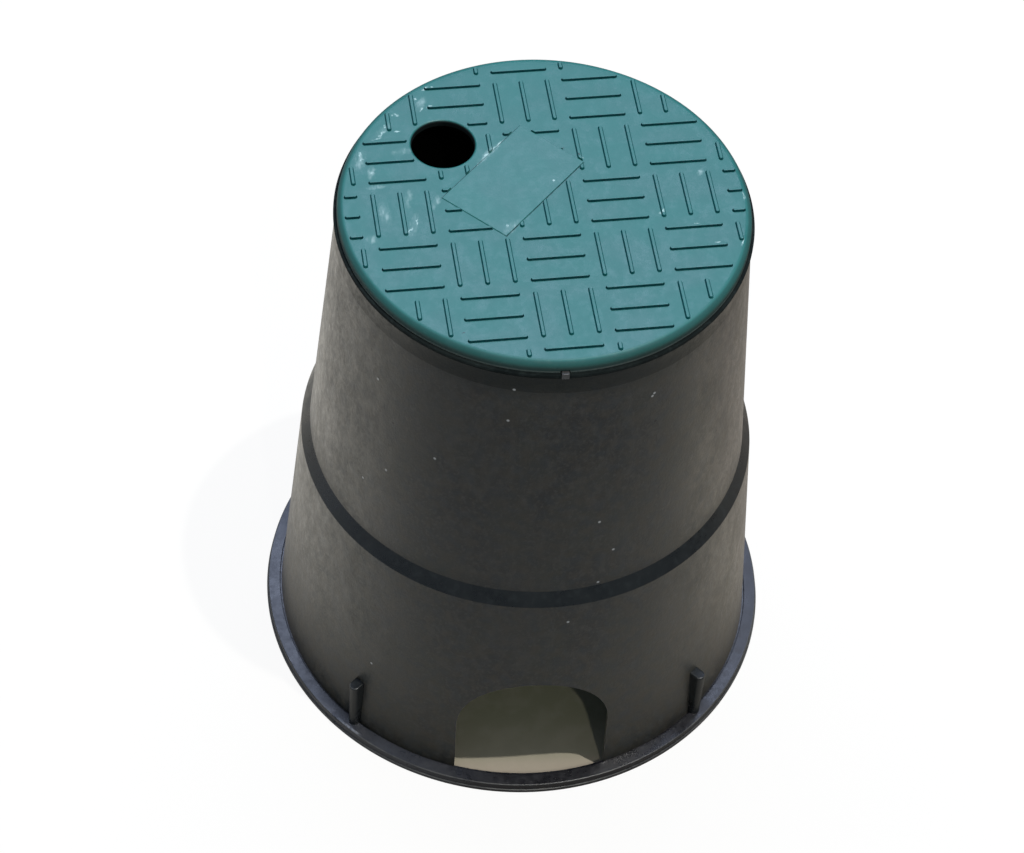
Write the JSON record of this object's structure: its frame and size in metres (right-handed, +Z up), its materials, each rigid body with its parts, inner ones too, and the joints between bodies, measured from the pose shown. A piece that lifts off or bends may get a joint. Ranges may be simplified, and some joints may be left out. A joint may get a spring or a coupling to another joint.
{
  "type": "irrigation valve box",
  "caption": "Round tapered valve box for buried irrigation pipework, with arched pipe notches, a foot ring and a lift-off lid with raised ribs and a finger hole.",
  "frame": {"origin": "middle of the base, on the ground", "axes": "+Z up along the box's axis, -Y towards the pipe notch under the locating lug"},
  "size_m": [0.2058, 0.2058, 0.236],
  "materials": {
    "box": "satin",
    "lid": "satin"
  },
  "bodies": {
    "root": {"box": "box", "lid": "lid"}
  },
  "joints": []
}
